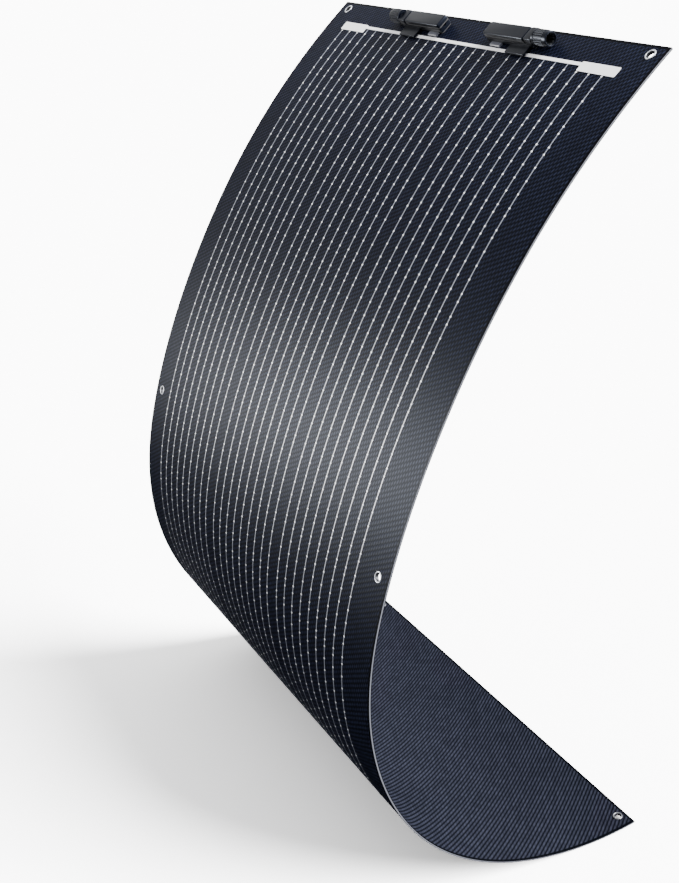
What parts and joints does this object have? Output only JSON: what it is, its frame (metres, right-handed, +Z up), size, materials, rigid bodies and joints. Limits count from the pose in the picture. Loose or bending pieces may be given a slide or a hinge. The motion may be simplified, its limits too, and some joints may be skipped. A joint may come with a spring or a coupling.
{
  "type": "flexible solar sheet",
  "caption": "Thin flexible solar laminate, held by its top edge, bent in a C with a tighter curl at its lower end, with eyelets and low junction boxes.",
  "frame": {"origin": "middle of the line through the two top eyelets, in the middle of the laminate, where the sheet is held", "axes": "+Z up, +Y along the sheet's width, +X towards the side that the bend opens to; the cells face away from that side"},
  "size_m": [0.3232, 0.551, 0.8011],
  "materials": {
    "woven_film": "textured black front film with a woven look and a soft sheen",
    "woven_back": "black back sheet with a diagonal woven look",
    "silicon_cell": "monocrystalline cell, nearly black",
    "tinned_copper": "tinned flat ribbon",
    "white_tape": "plain white tape with blank end labels",
    "bright_steel": "bright rolled eyelet",
    "dull_steel": "dull rear washer",
    "black_housing": "satin black moulded housing",
    "black_rubber": "black rubber",
    "foam_pad": "black adhesive foam",
    "diode_body": "moulded diode body"
  },
  "bodies": {
    "strip_01": {"back_sheet_01": "woven_back", "cell_layer_01": "silicon_cell", "front_film_01": "woven_film", "box_base_left": "black_housing", "box_base_right": "black_housing", "box_pad_left": "foam_pad", "box_pad_right": "foam_pad", "bypass_diode_left": "diode_body", "bypass_diode_right": "diode_body", "cover_tape": "white_tape", "cross_ribbon_top": "tinned_copper", "eyelet_top_left": "bright_steel", "eyelet_top_right": "bright_steel", "gland_seal_left": "black_rubber", "gland_seal_right": "black_rubber", "lid_gasket_left": "black_rubber", "lid_gasket_right": "black_rubber", "washer_top_left": "dull_steel", "washer_top_right": "dull_steel"},
    "strip_02": {"back_sheet_02": "woven_back", "cell_layer_02": "silicon_cell", "front_film_02": "woven_film"},
    "strip_03": {"back_sheet_03": "woven_back", "cell_layer_03": "silicon_cell", "front_film_03": "woven_film", "eyelet_middle_left": "bright_steel", "eyelet_middle_right": "bright_steel", "washer_middle_left": "dull_steel", "washer_middle_right": "dull_steel"},
    "strip_04": {"back_sheet_04": "woven_back", "cell_layer_04": "silicon_cell", "front_film_04": "woven_film"},
    "strip_05": {"back_sheet_05": "woven_back", "cell_layer_05": "silicon_cell", "front_film_05": "woven_film"},
    "strip_06": {"back_sheet_06": "woven_back", "cell_layer_06": "silicon_cell", "front_film_06": "woven_film"},
    "strip_07": {"back_sheet_07": "woven_back", "cell_layer_07": "silicon_cell", "front_film_07": "woven_film"},
    "strip_08": {"back_sheet_08": "woven_back", "cell_layer_08": "silicon_cell", "front_film_08": "woven_film"},
    "strip_09": {"back_sheet_09": "woven_back", "cell_layer_09": "silicon_cell", "front_film_09": "woven_film"},
    "strip_10": {"back_sheet_10": "woven_back", "cell_layer_10": "silicon_cell", "front_film_10": "woven_film", "cross_ribbon_lower": "tinned_copper", "eyelet_lower_left": "bright_steel", "eyelet_lower_right": "bright_steel", "washer_lower_left": "dull_steel", "washer_lower_right": "dull_steel"},
    "lid_left": {"box_lid_left": "black_housing"},
    "nut_left": {"gland_nut_left": "black_housing"},
    "lid_right": {"box_lid_right": "black_housing"},
    "nut_right": {"gland_nut_right": "black_housing"}
  },
  "joints": [
    {"name": "bend_01_02", "type": "hinge", "parent": "strip_01", "child": "strip_02", "pos_m": [-0.117, 0, -0.12995], "axis": [0, 1, 0], "range_deg": [-2.89, 11.55]},
    {"name": "bend_02_03", "type": "hinge", "parent": "strip_02", "child": "strip_03", "pos_m": [-0.19902, 0, -0.26755], "axis": [0, 1, 0], "range_deg": [-2.43, 9.7]},
    {"name": "bend_03_04", "type": "hinge", "parent": "strip_03", "child": "strip_04", "pos_m": [-0.2567, 0, -0.41703], "axis": [0, 1, 0], "range_deg": [-2.46, 9.85]},
    {"name": "bend_04_05", "type": "hinge", "parent": "strip_04", "child": "strip_05", "pos_m": [-0.27233, 0, -0.49559], "axis": [0, 1, 0], "range_deg": [-3.22, 12.9]},
    {"name": "bend_05_06", "type": "hinge", "parent": "strip_05", "child": "strip_06", "pos_m": [-0.27002, 0, -0.57551], "axis": [0, 1, 0], "range_deg": [-4.05, 16.2]},
    {"name": "bend_06_07", "type": "hinge", "parent": "strip_06", "child": "strip_07", "pos_m": [-0.24553, 0, -0.65157], "axis": [0, 1, 0], "range_deg": [-4.56, 18.25]},
    {"name": "bend_07_08", "type": "hinge", "parent": "strip_07", "child": "strip_08", "pos_m": [-0.19851, 0, -0.71606], "axis": [0, 1, 0], "range_deg": [-4.82, 19.3]},
    {"name": "bend_08_09", "type": "hinge", "parent": "strip_08", "child": "strip_09", "pos_m": [-0.13279, 0, -0.76139], "axis": [0, 1, 0], "range_deg": [-4.31, 17.25]},
    {"name": "bend_09_10", "type": "hinge", "parent": "strip_09", "child": "strip_10", "pos_m": [-0.05647, 0, -0.78523], "axis": [0, 1, 0], "range_deg": [-4.24, 16.95]},
    {"name": "lid_lift_left", "type": "slide", "parent": "strip_01", "child": "lid_left", "axis": [-0.6721, 0, 0.7404], "range_m": [0, 0.02]},
    {"name": "lid_lift_right", "type": "slide", "parent": "strip_01", "child": "lid_right", "axis": [-0.6721, 0, 0.7404], "range_m": [0, 0.02]},
    {"name": "gland_turn_right", "type": "hinge", "parent": "strip_01", "child": "nut_right", "pos_m": [-0.01061, -0.12725, 0.00276], "axis": [0, -1, 0], "range_deg": [0, 360]},
    {"name": "gland_turn_left", "type": "hinge", "parent": "strip_01", "child": "nut_left", "pos_m": [-0.01061, 0.12725, 0.00276], "axis": [0, 1, 0], "range_deg": [0, 360]}
  ],
  "couplings": [
    {"joint": "bend_02_03", "follows": "bend_01_02", "ratio": 0.83982},
    {"joint": "bend_03_04", "follows": "bend_01_02", "ratio": 0.85121},
    {"joint": "bend_05_06", "follows": "bend_04_05", "ratio": 1.2558},
    {"joint": "bend_06_07", "follows": "bend_04_05", "ratio": 1.4147},
    {"joint": "bend_07_08", "follows": "bend_04_05", "ratio": 1.4961},
    {"joint": "bend_08_09", "follows": "bend_04_05", "ratio": 1.3372},
    {"joint": "bend_09_10", "follows": "bend_04_05", "ratio": 1.3139}
  ]
}
